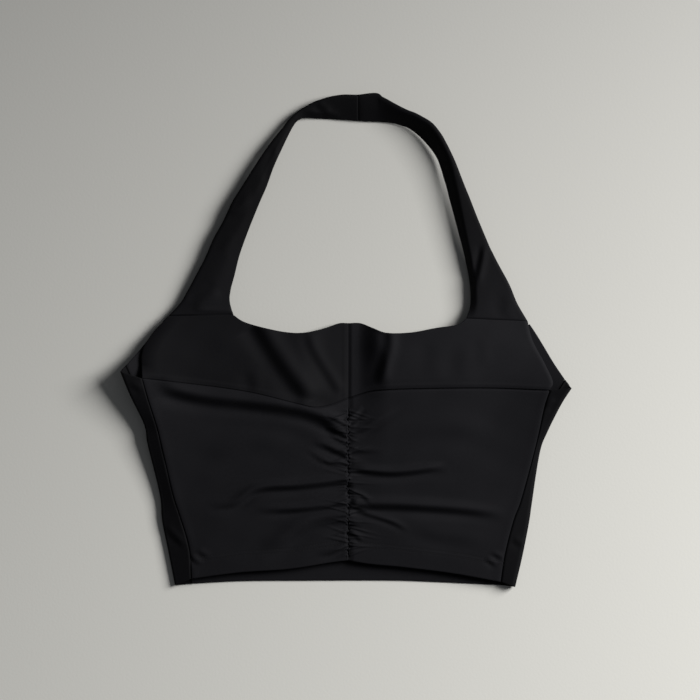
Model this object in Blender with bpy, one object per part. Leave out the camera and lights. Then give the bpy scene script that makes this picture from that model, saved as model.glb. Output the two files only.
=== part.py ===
"""Halter neck crop top, laid flat on its back: nine cut pieces of doubled stretch knit.

Metres, +Z up. The wearer's top edge points to +Y and the front faces +Z. The origin is under the
middle of the garment, on the surface that it lies on. Each piece is one closed wall of cloth. The
back lies flat but for its two upper corners, the fronts and cups lie over it, each side panel turns
round the fold at the garment's edge, and the two straps run up and meet at the back of the neck.
"""

import functools
import math

import bpy
import numpy as np

# Driving sizes.
CLOTH = 0.0014  # doubled body knit
STRAP_CLOTH = 0.0018  # straps have a seam allowance folded inside
SEAM_GAP = 0.0003  # clear space between pieces at a seam
CENTRE_X = 0.002  # centre front seam
NAPE_X = 0.0112  # centre back neck seam, where the straps meet
FOLD_RADIUS_LEFT = 0.0024  # of the fold at each side, where a side panel turns to the back
FOLD_RADIUS_RIGHT = 0.0040
ARMHOLE_DROP = 0.0042  # of the left cup's edge, which turns down to the back
BLACK = (0.011, 0.011, 0.012, 1.0)

# Places along and across each piece.
FRONT_COLUMNS, CUP_ROWS, FRONT_ROWS = 17, 9, 27
SIDE_ROWS, FOLD_STEPS = 18, 7
STRAP_ROWS, STRAP_COLUMNS = 30, 7
BACK_ROWS, BACK_COLUMNS = 22, 19
STRETCH_STEPS = 12  # between two points of a curve

COLLECTION = "halter_neck_top"

# Side panels, a row for each section from the armhole down to the hem. Columns: the seam with the
# front (x, y), the fold at the garment's edge (x, y), and the seam with the back (x, y).
SIDE_LEFT = (
    (-0.1895, -0.0353, -0.2100, -0.0286, -0.2040, -0.0225),
    (-0.1845, -0.0530, -0.2010, -0.0510, -0.1925, -0.0480),
    (-0.1755, -0.0817, -0.1872, -0.0810, -0.1750, -0.0810),
    (-0.1730, -0.0920, -0.1856, -0.0935, -0.1700, -0.0930),
    (-0.1598, -0.1480, -0.1732, -0.1470, -0.1570, -0.1480),
    (-0.1545, -0.1640, -0.1717, -0.1670, -0.1525, -0.1660),
    (-0.1460, -0.1940, -0.1660, -0.1960, -0.1475, -0.1960),
    (-0.1440, -0.2220, -0.1596, -0.2285, -0.1430, -0.2268),
)
SIDE_RIGHT = (
    (0.1895, -0.0463, 0.2100, -0.0443, 0.2045, -0.0372),
    (0.1852, -0.0590, 0.2010, -0.0584, 0.1925, -0.0560),
    (0.1790, -0.0870, 0.1868, -0.0870, 0.1750, -0.0860),
    (0.1755, -0.1020, 0.1817, -0.1000, 0.1700, -0.1000),
    (0.1615, -0.1530, 0.1728, -0.1550, 0.1570, -0.1540),
    (0.1568, -0.1650, 0.1712, -0.1665, 0.1540, -0.1660),
    (0.1482, -0.1980, 0.1647, -0.2000, 0.1480, -0.1990),
    (0.1440, -0.2250, 0.1577, -0.2300, 0.1440, -0.2282),
)

# Edges that neighbours share, from the side inwards or from the bottom up. Columns: x, y.
UNDERBUST_LEFT = (
    (-0.1895, -0.0353), (-0.1500, -0.0397), (-0.0896, -0.0481), (-0.0430, -0.0593),
    (-0.0300, -0.0621), (-0.0150, -0.0602), (CENTRE_X, -0.0535),
)
UNDERBUST_RIGHT = (
    (0.1895, -0.0463), (0.1344, -0.0443), (0.0691, -0.0448), (0.0411, -0.0457),
    (0.0224, -0.0473), (CENTRE_X, -0.0535),
)
ARMHOLE_LEFT = ((-0.1895, -0.0353), (-0.1900, -0.0120), (-0.1829, 0.0033), (-0.1660, 0.0228))
ARMHOLE_RIGHT = (
    (0.1895, -0.0463), (0.1925, -0.0400), (0.1857, -0.0229), (0.1735, 0.0010), (0.1692, 0.0183),
)
STRAP_SEAM_LEFT = ((-0.1660, 0.0228), (-0.1045, 0.0238))
STRAP_SEAM_RIGHT = ((0.1692, 0.0183), (0.1115, 0.0205))
NECKLINE_LEFT = (
    (-0.1045, 0.0238), (-0.0960, 0.0180), (-0.0709, 0.0107), (-0.0523, 0.0075),
    (-0.0383, 0.0075), (-0.0196, 0.0117), (-0.0060, 0.0163), (CENTRE_X, 0.0163),
)
NECKLINE_RIGHT = (
    (0.1115, 0.0205), (0.1050, 0.0155), (0.0831, 0.0117), (0.0597, 0.0075),
    (0.0364, 0.0075), (0.0252, 0.0117), (0.0131, 0.0163), (CENTRE_X, 0.0163),
)
FRONT_HEM_LEFT = (
    (-0.1440, -0.2220), (-0.0989, -0.2161), (-0.0523, -0.2128), (-0.0103, -0.2063),
    (CENTRE_X, -0.2049),
)
FRONT_HEM_RIGHT = (
    (0.1440, -0.2250), (0.1000, -0.2171), (0.0504, -0.2109), (0.0200, -0.2080),
    (CENTRE_X, -0.2049),
)

# Free edges of the back panel, upwards or left to right. Columns: x, y.
BACK_ARMHOLE_LEFT = ((-0.2040, -0.0225), (-0.1923, -0.0089), (-0.1829, 0.0033))
BACK_ARMHOLE_RIGHT = (
    (0.2045, -0.0372), (0.1932, -0.0201), (0.1852, -0.0065), (0.1782, 0.0051), (0.1716, 0.0152),
)
BACK_TOP = (
    (-0.1829, 0.0033), (-0.0900, 0.0005), (0.0900, 0.0010), (0.1500, 0.0060), (0.1716, 0.0152),
)
BACK_HEM = (
    (-0.1430, -0.2268), (-0.0989, -0.2245), (-0.0429, -0.2240), (0.0504, -0.2240),
    (0.0877, -0.2254), (0.1440, -0.2282),
)

# Height of the front's outer face. Level 0 is the neckline and strap seam, 1 the seam under the
# bust, and 2 the hem. Columns: level, then the height at each station from the side to the centre.
STATIONS_LEFT = (0.0, 0.22, 0.50, 0.76, 0.90, 1.0)
STATIONS_RIGHT = (0.0, 0.22, 0.50, 0.79, 0.95, 1.0)
HEIGHT_LEFT = (
    (0.00, 0.0080, 0.0100, 0.0105, 0.0110, 0.0070, 0.0050),
    (0.40, 0.0084, 0.0106, 0.0112, 0.0120, 0.0080, 0.0055),
    (0.80, 0.0088, 0.0108, 0.0116, 0.0128, 0.0100, 0.0070),
    (1.00, 0.0092, 0.0105, 0.0118, 0.0126, 0.0112, 0.0085),
    (1.12, 0.0092, 0.0098, 0.0104, 0.0110, 0.0112, 0.0100),
    (1.30, 0.0090, 0.0094, 0.0099, 0.0104, 0.0104, 0.0100),
    (1.60, 0.0088, 0.0094, 0.0099, 0.0104, 0.0101, 0.0096),
    (1.85, 0.0080, 0.0086, 0.0089, 0.0090, 0.0088, 0.0086),
    (2.00, 0.0072, 0.0078, 0.0080, 0.0080, 0.0080, 0.0078),
)
HEIGHT_RIGHT = (
    (0.00, 0.0072, 0.0112, 0.0150, 0.0150, 0.0050, 0.0050),
    (0.40, 0.0074, 0.0125, 0.0160, 0.0170, 0.0056, 0.0055),
    (0.80, 0.0082, 0.0120, 0.0160, 0.0172, 0.0070, 0.0070),
    (1.00, 0.0090, 0.0114, 0.0150, 0.0158, 0.0090, 0.0085),
    (1.12, 0.0092, 0.0108, 0.0140, 0.0148, 0.0106, 0.0100),
    (1.30, 0.0092, 0.0104, 0.0128, 0.0132, 0.0106, 0.0100),
    (1.60, 0.0088, 0.0096, 0.0108, 0.0112, 0.0099, 0.0096),
    (1.85, 0.0080, 0.0085, 0.0089, 0.0090, 0.0087, 0.0086),
    (2.00, 0.0072, 0.0077, 0.0080, 0.0080, 0.0079, 0.0078),
)

# Largest folds of the front, soft ridges (height above 0) and troughs (below 0). Columns: start
# (x, y), middle (x, y), end (x, y), half width, height.
FOLDS = (
    (-0.1690, -0.0430, -0.0720, -0.0590, 0.0010, -0.0830, 0.0068, 0.0036),
    (-0.1620, -0.0540, -0.0750, -0.0690, -0.0010, -0.0950, 0.0068, -0.0026),
    (-0.0330, -0.0980, -0.0150, -0.1030, 0.0010, -0.1105, 0.0036, -0.0013),
    (-0.1270, -0.1530, -0.0780, -0.1370, 0.0010, -0.1290, 0.0042, 0.0026),
    (-0.1230, -0.1580, -0.0760, -0.1430, -0.0010, -0.1346, 0.0042, -0.0020),
    (-0.0840, -0.1577, -0.0430, -0.1556, 0.0010, -0.1502, 0.0038, 0.0020),
    (-0.0800, -0.1960, -0.0430, -0.1740, 0.0010, -0.1630, 0.0070, 0.0018),
    (0.0040, -0.1184, 0.0430, -0.1220, 0.0880, -0.1165, 0.0038, 0.0018),
    (0.0040, -0.1500, 0.0600, -0.1522, 0.1440, -0.1600, 0.0050, 0.0028),
    (0.0040, -0.1570, 0.0600, -0.1592, 0.1440, -0.1670, 0.0050, -0.0020),
    (-0.0790, 0.0120, -0.0490, -0.0290, -0.0310, -0.0560, 0.0090, 0.0028),
    (-0.0900, 0.0060, -0.0600, -0.0360, -0.0410, -0.0600, 0.0090, -0.0020),
)

# Straps, a row for each section from the cup seam up to the back of the neck. Columns: inner edge
# (x, y, z), where the crown lies across the strap, its height, and the outer edge (x, y, z).
STRAP_LEFT = (
    (-0.1048, 0.0241, 0.0102, 0.50, 0.0105, -0.1656, 0.0231, 0.0081),
    (-0.1078, 0.0340, 0.0096, 0.50, 0.0108, -0.1560, 0.0335, 0.0080),
    (-0.1073, 0.0471, 0.0092, 0.45, 0.0110, -0.1475, 0.0470, 0.0086),
    (-0.1036, 0.0611, 0.0092, 0.42, 0.0112, -0.1402, 0.0605, 0.0093),
    (-0.0989, 0.0798, 0.0092, 0.40, 0.0113, -0.1312, 0.0776, 0.0099),
    (-0.0933, 0.0957, 0.0092, 0.40, 0.0114, -0.1238, 0.0946, 0.0103),
    (-0.0868, 0.1125, 0.0092, 0.40, 0.0115, -0.1143, 0.1118, 0.0106),
    (-0.0803, 0.1283, 0.0091, 0.40, 0.0116, -0.1066, 0.1285, 0.0108),
    (-0.0737, 0.1433, 0.0089, 0.40, 0.0116, -0.0972, 0.1434, 0.0110),
    (-0.0681, 0.1591, 0.0085, 0.40, 0.0114, -0.0876, 0.1588, 0.0110),
    (-0.0588, 0.1797, 0.0074, 0.42, 0.0104, -0.0728, 0.1810, 0.0104),
    (-0.0495, 0.1983, 0.0056, 0.45, 0.0086, -0.0582, 0.1990, 0.0094),
    (-0.0440, 0.2050, 0.0044, 0.48, 0.0074, -0.0512, 0.2070, 0.0088),
    (-0.0370, 0.2072, 0.0036, 0.50, 0.0064, -0.0412, 0.2152, 0.0084),
    (-0.0243, 0.2067, 0.0028, 0.50, 0.0062, -0.0270, 0.2230, 0.0088),
    (-0.0056, 0.2058, 0.0026, 0.50, 0.0068, -0.0060, 0.2282, 0.0102),
    (NAPE_X, 0.2046, 0.0028, 0.50, 0.0076, NAPE_X, 0.2282, 0.0112),
)
STRAP_RIGHT = (
    (0.1118, 0.0208, 0.0116, 0.14, 0.0124, 0.1689, 0.0186, 0.0078),
    (0.1153, 0.0331, 0.0078, 0.16, 0.0124, 0.1603, 0.0334, 0.0096),
    (0.1148, 0.0518, 0.0062, 0.19, 0.0124, 0.1524, 0.0518, 0.0106),
    (0.1111, 0.0733, 0.0056, 0.24, 0.0127, 0.1415, 0.0720, 0.0113),
    (0.1073, 0.0891, 0.0052, 0.30, 0.0130, 0.1334, 0.0885, 0.0118),
    (0.1036, 0.1031, 0.0049, 0.37, 0.0134, 0.1270, 0.1035, 0.0123),
    (0.0999, 0.1171, 0.0046, 0.45, 0.0138, 0.1212, 0.1175, 0.0128),
    (0.0961, 0.1311, 0.0043, 0.54, 0.0143, 0.1158, 0.1315, 0.0134),
    (0.0933, 0.1423, 0.0040, 0.62, 0.0147, 0.1113, 0.1424, 0.0140),
    (0.0905, 0.1517, 0.0037, 0.69, 0.0151, 0.1075, 0.1520, 0.0146),
    (0.0877, 0.1610, 0.0034, 0.76, 0.0156, 0.1036, 0.1622, 0.0152),
    (0.0840, 0.1703, 0.0031, 0.82, 0.0161, 0.0992, 0.1722, 0.0159),
    (0.0784, 0.1787, 0.0028, 0.86, 0.0166, 0.0934, 0.1836, 0.0166),
    (0.0728, 0.1853, 0.0025, 0.88, 0.0170, 0.0880, 0.1928, 0.0171),
    (0.0672, 0.1909, 0.0023, 0.89, 0.0170, 0.0799, 0.2024, 0.0172),
    (0.0597, 0.1965, 0.0022, 0.88, 0.0163, 0.0687, 0.2092, 0.0166),
    (0.0504, 0.2002, 0.0022, 0.82, 0.0142, 0.0567, 0.2140, 0.0152),
    (0.0411, 0.2025, 0.0022, 0.66, 0.0112, 0.0448, 0.2198, 0.0140),
    (0.0317, 0.2035, 0.0022, 0.58, 0.0092, 0.0335, 0.2262, 0.0126),
    (0.0220, 0.2040, 0.0024, 0.50, 0.0082, 0.0243, 0.2300, 0.0116),
    (NAPE_X, 0.2046, 0.0028, 0.50, 0.0076, NAPE_X, 0.2282, 0.0112),
)

# The underarm points stand clear of the surface. Columns: the point (x, y), how high its cloth is
# lifted, and how far the lift reaches inwards, up and down.
LIFTS = (
    (-0.2100, -0.0286, 0.0180, 0.092, 0.100, 0.200),
    (0.2100, -0.0443, 0.0120, 0.090, 0.090, 0.150),
)


def hermite(start, end, start_slope, end_slope, t):
    """A cubic from start to end, with its slopes there."""
    rise = t * t * (3 - 2 * t)
    return (1 - rise) * start + rise * end + t * (1 - t) * ((1 - t) * start_slope - t * end_slope)


def through(rows):
    """A smooth curve through the rows, as a list of places."""
    rows = np.array(rows, float)
    held = np.vstack([2 * rows[0] - rows[1], rows, 2 * rows[-1] - rows[-2]])
    spacing = np.linalg.norm(np.diff(held, axis=0), axis=1) ** 0.5
    speed = np.diff(held, axis=0) / spacing[:, None]
    both = held[2:] - held[:-2]
    places = []
    for i in range(len(rows) - 1):
        before, here, after = spacing[i : i + 3]
        step = here * speed[i + 1]
        start = step + here * (speed[i] - both[i] / (before + here))
        end = step + here * (speed[i + 2] - both[i + 1] / (here + after))
        for t in np.linspace(0, 1, STRETCH_STEPS, endpoint=False):
            places.append(hermite(rows[i], rows[i + 1], start, end, t))
    return np.array(places + [rows[-1]])


def edge(*stretches):
    """Stretches of smooth curve joined end to end, read by the fraction of their whole length."""
    line = np.vstack([through(rows) for rows in stretches])
    steps = np.linalg.norm(np.diff(line, axis=0), axis=1)
    length = np.concatenate([[0], np.cumsum(steps)])
    return lambda t: np.array([np.interp(t * length[-1], length, column) for column in line.T])


def eased(knots, values, at):
    """Reads values between knots, smoothly and without passing them."""
    gap = np.diff(knots)
    slope = np.diff(values) / gap
    tangent = [slope[0]]
    for before, after in zip(slope, slope[1:]):
        tangent.append(2 * before * after / (before + after) if before * after > 0 else 0)
    tangent.append(slope[-1])
    i = int(np.clip(np.searchsorted(knots, at) - 1, 0, len(gap) - 1))
    t = float(np.clip((at - knots[i]) / gap[i], 0, 1))
    return hermite(values[i], values[i + 1], gap[i] * tangent[i], gap[i] * tangent[i + 1], t)


@functools.lru_cache
def fold_line(*points):
    return through(np.reshape(points, (3, 2)))


def fold_height(x, y):
    """What the folds add at one place: each is a bell across its line, and fades at both ends."""
    total = 0.0
    for *points, width, height in FOLDS:
        line = fold_line(*points)
        away = np.hypot(line[:, 0] - x, line[:, 1] - y)
        along = int(away.argmin()) / (len(line) - 1)
        fade = math.sin(math.pi / 2 * min(1, 0.1 + 2 * min(along, 1 - along)))
        total += height * fade * math.exp(-((away.min() / width) ** 2))
    return total


def front_height(form, across, level):
    """Height of the front's outer face at a fraction from the side to the centre, on a level."""
    stations, table = form
    levels, *heights = np.array(table).T
    return eased(stations, [eased(levels, column, level) for column in heights], across)


def lift(x, y):
    """How far the cloth stands off the surface near the underarm points."""
    total = 0.0
    for point_x, point_y, height, inwards, up, down in LIFTS:
        away = math.hypot((x - point_x) / inwards, (y - point_y) / (up if y > point_y else down))
        total += height * max(0, 1 - away) ** 2
    return total


def patch(side, centre, bottom, top, u, v):
    """A place on the panel between four edges that meet at its corners."""
    low = (1 - u) * bottom(0) + u * bottom(1)
    high = (1 - u) * top(0) + u * top(1)
    sides = (1 - u) * side(v) + u * centre(v)
    return sides + (1 - v) * (bottom(u) - low) + v * (top(u) - high)


def add_piece(name, data):
    """Puts a piece in the garment's collection, with its own black knit."""
    piece = bpy.data.objects.new(name, data)
    bpy.data.collections[COLLECTION].objects.link(piece)
    material = bpy.data.materials.new(name + "_knit")
    material.use_nodes = True
    shader = material.node_tree.nodes["Principled BSDF"]
    shader.inputs["Base Color"].default_value = BLACK
    shader.inputs["Roughness"].default_value = 0.85
    data.materials.append(material)
    return piece


def signed_volume(mesh):
    mesh.calc_loop_triangles()
    corners = [[mesh.vertices[i].co for i in t.vertices] for t in mesh.loop_triangles]
    return sum(a.dot(b.cross(c)) for a, b, c in corners) / 6


def closed_wall(name, outer, inner):
    """One closed body between two grids of places that face each other."""
    rows, columns, _ = outer.shape
    index = np.arange(rows * columns).reshape(rows, columns)
    quads = np.stack([index[:-1, :-1], index[:-1, 1:], index[1:, 1:], index[1:, :-1]], axis=-1)
    quads = quads.reshape(-1, 4)
    rim = np.concatenate([index[0], index[1:, -1], index[-1, -2::-1], index[-2:0:-1, 0]])
    ahead = np.roll(rim, -1)
    below = rows * columns
    walls = np.stack([ahead, rim, rim + below, ahead + below], axis=-1)
    faces = np.vstack([quads, quads[:, ::-1] + below, walls])
    mesh = bpy.data.meshes.new(name)
    mesh.from_pydata(np.vstack([outer.reshape(-1, 3), inner.reshape(-1, 3)]), [], faces.tolist())
    if signed_volume(mesh) < 0:
        mesh.flip_normals()
    return add_piece(name, mesh)


def panel(name, edges, height, rows, columns):
    """A wall laid over the patch between four seams. height gives its outer face at (u, v, x, y)."""
    side, far_side, bottom, top = edges
    inset_across = SEAM_GAP / 2 / np.linalg.norm(bottom(1) - bottom(0))
    inset_up = SEAM_GAP / 2 / np.linalg.norm(far_side(1) - far_side(0))
    outer = []
    for v in np.linspace(inset_up, 1 - inset_up, rows):
        line = []
        for u in np.linspace(inset_across, 1 - inset_across, columns):
            x, y = patch(side, far_side, bottom, top, u, v)
            line.append((x, y, height(u, v, x, y) + lift(x, y)))
        outer.append(line)
    outer = np.array(outer)
    closed_wall(name, outer, outer - (0, 0, CLOTH))


def armhole_turn(u, v):
    """How far a cup turns down to the back at its armhole. u and v run over 190 mm and 70 mm."""
    turn = ARMHOLE_DROP * max(0, 1 - u * 0.190 / 0.016) ** 2
    return turn * min(1, v * 0.070 / 0.012) * (0.35 + 0.65 * min(1, (1 - v) * 0.070 / 0.020))


def cup(name, underbust, armhole, strap_seam, neckline, form):
    """From the seam under the bust up to the neckline and the strap."""
    centre = edge((underbust[-1], neckline[-1]))
    edges = edge(armhole), centre, edge(underbust), edge(strap_seam, neckline)

    def height(u, v, x, y):
        turn = armhole_turn(u, v) if name == "cup_left" else 0
        return front_height(form, u, 1 - v) + fold_height(x, y) - turn

    panel(name, edges, height, CUP_ROWS, FRONT_COLUMNS)


def front(name, underbust, sections, hem, form):
    """From the hem up to the seam under the bust, beside its side panel."""
    seam = [row[:2] for row in reversed(sections)]
    centre = edge((hem[-1], underbust[-1]))
    edges = edge(seam), centre, edge(hem), edge(underbust)

    def height(u, v, x, y):
        return front_height(form, u, 2 - v) + fold_height(x, y)

    panel(name, edges, height, FRONT_ROWS, FRONT_COLUMNS)


def back_panel():
    """The back lies flat between the two back side seams, and only its corners are lifted."""
    left = edge([row[4:] for row in reversed(SIDE_LEFT)], BACK_ARMHOLE_LEFT)
    right = edge([row[4:] for row in reversed(SIDE_RIGHT)], BACK_ARMHOLE_RIGHT)
    edges = left, right, edge(BACK_HEM), edge(BACK_TOP)
    panel("back", edges, lambda u, v, x, y: CLOTH, BACK_ROWS, BACK_COLUMNS)


def side_panel(name, sections, form, radius):
    """Turns round the garment's edge: along the front, half a turn about the fold, and back below."""
    rows = edge(sections)
    outer, inner = [], []
    for down in np.linspace(0, 1, SIDE_ROWS):
        seam, fold, back = rows(down).reshape(3, 2)
        high = front_height(form, 0, 1 + down)
        out_above = (fold - seam) / np.linalg.norm(fold - seam)
        out_below = (fold - back) / np.linalg.norm(fold - back)
        for grid, wall in ((outer, 0), (inner, CLOTH)):
            line = [(*(seam + out_above * SEAM_GAP), high - wall + lift(*seam))]
            for turn in np.linspace(0, math.pi, FOLD_STEPS):
                out = out_above + turn / math.pi * (out_below - out_above)
                out /= np.linalg.norm(out)
                place = fold + ((radius - wall) * math.sin(turn) - radius) * out
                level = radius + (radius - wall) * math.cos(turn)
                line.append((*place, level + lift(*(fold - radius * out))))
            line.append((*(back + out_below * SEAM_GAP), wall + lift(*back)))
            grid.append(line)
    closed_wall(name, np.array(outer), np.array(inner))


def facing(grid):
    """Unit normals of a strap, turned upwards. On its two end rows they lie in the seam's plane."""
    normal = np.cross(np.gradient(grid, axis=0), np.gradient(grid, axis=1))
    normal[0, :, 1] = 0
    normal[-1, :, 0] = 0
    normal /= np.linalg.norm(normal, axis=2, keepdims=True)
    return normal * np.sign(normal[..., 2].mean())


def strap(name, sections, nape_side):
    """A ribbon through its sections. Each section is an arch from the inner edge over the crown."""
    rows = edge(sections)
    outer = []
    for up in np.linspace(0, 1, STRAP_ROWS):
        section = rows(up)
        inner_edge, outer_edge = section[:3], section[5:]
        crown_at, crown = section[3:5]
        line = []
        for across in np.linspace(0, 1, STRAP_COLUMNS):
            x, y, _ = (1 - across) * inner_edge + across * outer_edge
            z = eased((0, crown_at, 1), (inner_edge[2], crown, outer_edge[2]), across)
            line.append((x, y, z))
        outer.append(line)
    outer = np.array(outer)
    outer[-1, :, 0] += nape_side * SEAM_GAP / 2
    closed_wall(name, outer, outer - STRAP_CLOTH * facing(outer))


def main():
    for old in list(bpy.data.objects):
        bpy.data.objects.remove(old)
    bpy.context.scene.collection.children.link(bpy.data.collections.new(COLLECTION))
    back_panel()
    left, right = (STATIONS_LEFT, HEIGHT_LEFT), (STATIONS_RIGHT, HEIGHT_RIGHT)
    side_panel("side_left", SIDE_LEFT, left, FOLD_RADIUS_LEFT)
    side_panel("side_right", SIDE_RIGHT, right, FOLD_RADIUS_RIGHT)
    front("front_left", UNDERBUST_LEFT, SIDE_LEFT, FRONT_HEM_LEFT, left)
    front("front_right", UNDERBUST_RIGHT, SIDE_RIGHT, FRONT_HEM_RIGHT, right)
    cup("cup_left", UNDERBUST_LEFT, ARMHOLE_LEFT, STRAP_SEAM_LEFT, NECKLINE_LEFT, left)
    cup("cup_right", UNDERBUST_RIGHT, ARMHOLE_RIGHT, STRAP_SEAM_RIGHT, NECKLINE_RIGHT, right)
    strap("strap_left", STRAP_LEFT, -1)
    strap("strap_right", STRAP_RIGHT, 1)


main()
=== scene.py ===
"""Halter neck crop top, laid flat on a pale board: the looks of its nine cut pieces and their hems.

Metres, +Z up, +Y towards the neck. Each piece is a thin closed shell of doubled stretch knit on the
form of its own solid, with its folds, gathers, seams and turned edges.
"""

import math

import bpy
import numpy as np
from bpy.props import FloatProperty, PointerProperty, StringProperty
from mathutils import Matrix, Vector


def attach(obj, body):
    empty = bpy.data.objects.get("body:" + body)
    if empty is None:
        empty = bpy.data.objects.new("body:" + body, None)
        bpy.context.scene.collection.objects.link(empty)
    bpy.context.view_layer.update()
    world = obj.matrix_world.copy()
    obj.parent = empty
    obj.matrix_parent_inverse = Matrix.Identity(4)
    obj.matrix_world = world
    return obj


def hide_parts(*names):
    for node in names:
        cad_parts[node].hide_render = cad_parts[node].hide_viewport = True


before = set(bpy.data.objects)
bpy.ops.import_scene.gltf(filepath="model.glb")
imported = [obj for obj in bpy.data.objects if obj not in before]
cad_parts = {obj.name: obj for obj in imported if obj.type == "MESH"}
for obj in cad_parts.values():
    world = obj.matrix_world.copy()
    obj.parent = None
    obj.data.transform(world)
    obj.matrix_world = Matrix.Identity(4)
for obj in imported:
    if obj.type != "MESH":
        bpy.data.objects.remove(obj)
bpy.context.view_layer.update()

bl_info = {
    "name": "Halter neck top",
    "version": (1, 0, 0),
    "blender": (4, 5, 0),
    "location": "View3D > Sidebar > Halter top",
    "description": "Builds a laid-out halter neck crop top from its cut pieces",
    "category": "Add Mesh",
}

# Sizes that the tables below were laid out with.
SEAM_GAP = 0.0003  # clear space between pieces at a seam
TUCK = 0.0007  # how far a piece runs in under its neighbour at a seam
TUCK_DROP = 0.00095  # and how far it dips there
TUCK_FLAT = 0.0008  # width of the outermost strip, which has the whole dip
EDGE_RADIUS = 0.0011  # of every rolled edge
EDGE_HALF_WALL = 0.0001  # half of the wall's thickness at the very edge
STITCH_RISE = 0.0001  # how far a stitch's middle stands off the cloth
CENTRE_X = 0.002  # centre front seam
NAPE_X = 0.0112  # centre back neck seam
FOLD_RADIUS_LEFT, FOLD_RADIUS_RIGHT = 0.0024, 0.0040  # of the fold at each side
ARMHOLE_DROP = 0.0042  # of the left cup's edge, which turns down to the back
STRETCH_STEPS = 16  # between two points of a curve
# Distances from an edge at which places lie close together, to draw its roll.
ROUND_STOPS = np.array((0.0, 0.00008, 0.00022, 0.00042, 0.0007, 0.00105, 0.0016))

# Side panels, a row for each section from the armhole down to the hem. Columns: the seam with the
# front (x, y), the fold at the garment's edge (x, y), and the seam with the back (x, y).
SIDE_LEFT = (
    (-0.1895, -0.0353, -0.2100, -0.0286, -0.2040, -0.0225),
    (-0.1845, -0.0530, -0.2010, -0.0510, -0.1925, -0.0480),
    (-0.1755, -0.0817, -0.1872, -0.0810, -0.1750, -0.0810),
    (-0.1730, -0.0920, -0.1856, -0.0935, -0.1700, -0.0930),
    (-0.1598, -0.1480, -0.1732, -0.1470, -0.1570, -0.1480),
    (-0.1545, -0.1640, -0.1717, -0.1670, -0.1525, -0.1660),
    (-0.1460, -0.1940, -0.1660, -0.1960, -0.1475, -0.1960),
    (-0.1440, -0.2220, -0.1596, -0.2285, -0.1430, -0.2268),
)
SIDE_RIGHT = (
    (0.1895, -0.0463, 0.2100, -0.0443, 0.2045, -0.0372),
    (0.1852, -0.0590, 0.2010, -0.0584, 0.1925, -0.0560),
    (0.1790, -0.0870, 0.1868, -0.0870, 0.1750, -0.0860),
    (0.1755, -0.1020, 0.1817, -0.1000, 0.1700, -0.1000),
    (0.1615, -0.1530, 0.1728, -0.1550, 0.1570, -0.1540),
    (0.1568, -0.1650, 0.1712, -0.1665, 0.1540, -0.1660),
    (0.1482, -0.1980, 0.1647, -0.2000, 0.1480, -0.1990),
    (0.1440, -0.2250, 0.1577, -0.2300, 0.1440, -0.2282),
)

# Edges that neighbours share, from the side inwards or from the bottom up. Columns: x, y.
UNDERBUST_LEFT = (
    (-0.1895, -0.0353), (-0.1500, -0.0397), (-0.0896, -0.0481), (-0.0430, -0.0593),
    (-0.0300, -0.0621), (-0.0150, -0.0602), (CENTRE_X, -0.0535),
)
UNDERBUST_RIGHT = (
    (0.1895, -0.0463), (0.1344, -0.0443), (0.0691, -0.0448), (0.0411, -0.0457),
    (0.0224, -0.0473), (CENTRE_X, -0.0535),
)
ARMHOLE_LEFT = ((-0.1895, -0.0353), (-0.1900, -0.0120), (-0.1829, 0.0033), (-0.1660, 0.0228))
ARMHOLE_RIGHT = (
    (0.1895, -0.0463), (0.1925, -0.0400), (0.1857, -0.0229), (0.1735, 0.0010), (0.1692, 0.0183),
)
STRAP_SEAM_LEFT = ((-0.1660, 0.0228), (-0.1045, 0.0238))
STRAP_SEAM_RIGHT = ((0.1692, 0.0183), (0.1115, 0.0205))
NECKLINE_LEFT = (
    (-0.1045, 0.0238), (-0.0960, 0.0180), (-0.0709, 0.0107), (-0.0523, 0.0075),
    (-0.0383, 0.0075), (-0.0196, 0.0117), (-0.0060, 0.0163), (CENTRE_X, 0.0163),
)
NECKLINE_RIGHT = (
    (0.1115, 0.0205), (0.1050, 0.0155), (0.0831, 0.0117), (0.0597, 0.0075),
    (0.0364, 0.0075), (0.0252, 0.0117), (0.0131, 0.0163), (CENTRE_X, 0.0163),
)
FRONT_HEM_LEFT = (
    (-0.1440, -0.2220), (-0.0989, -0.2161), (-0.0523, -0.2128), (-0.0103, -0.2063),
    (CENTRE_X, -0.2049),
)
FRONT_HEM_RIGHT = (
    (0.1440, -0.2250), (0.1000, -0.2171), (0.0504, -0.2109), (0.0200, -0.2080),
    (CENTRE_X, -0.2049),
)

# Free edges of the back panel, upwards or left to right. Columns: x, y.
BACK_ARMHOLE_LEFT = ((-0.2040, -0.0225), (-0.1923, -0.0089), (-0.1829, 0.0033))
BACK_ARMHOLE_RIGHT = (
    (0.2045, -0.0372), (0.1932, -0.0201), (0.1852, -0.0065), (0.1782, 0.0051), (0.1716, 0.0152),
)
BACK_TOP = (
    (-0.1829, 0.0033), (-0.0900, 0.0005), (0.0900, 0.0010), (0.1500, 0.0060), (0.1716, 0.0152),
)
BACK_HEM = (
    (-0.1430, -0.2268), (-0.0989, -0.2245), (-0.0429, -0.2240), (0.0504, -0.2240),
    (0.0877, -0.2254), (0.1440, -0.2282),
)

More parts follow.
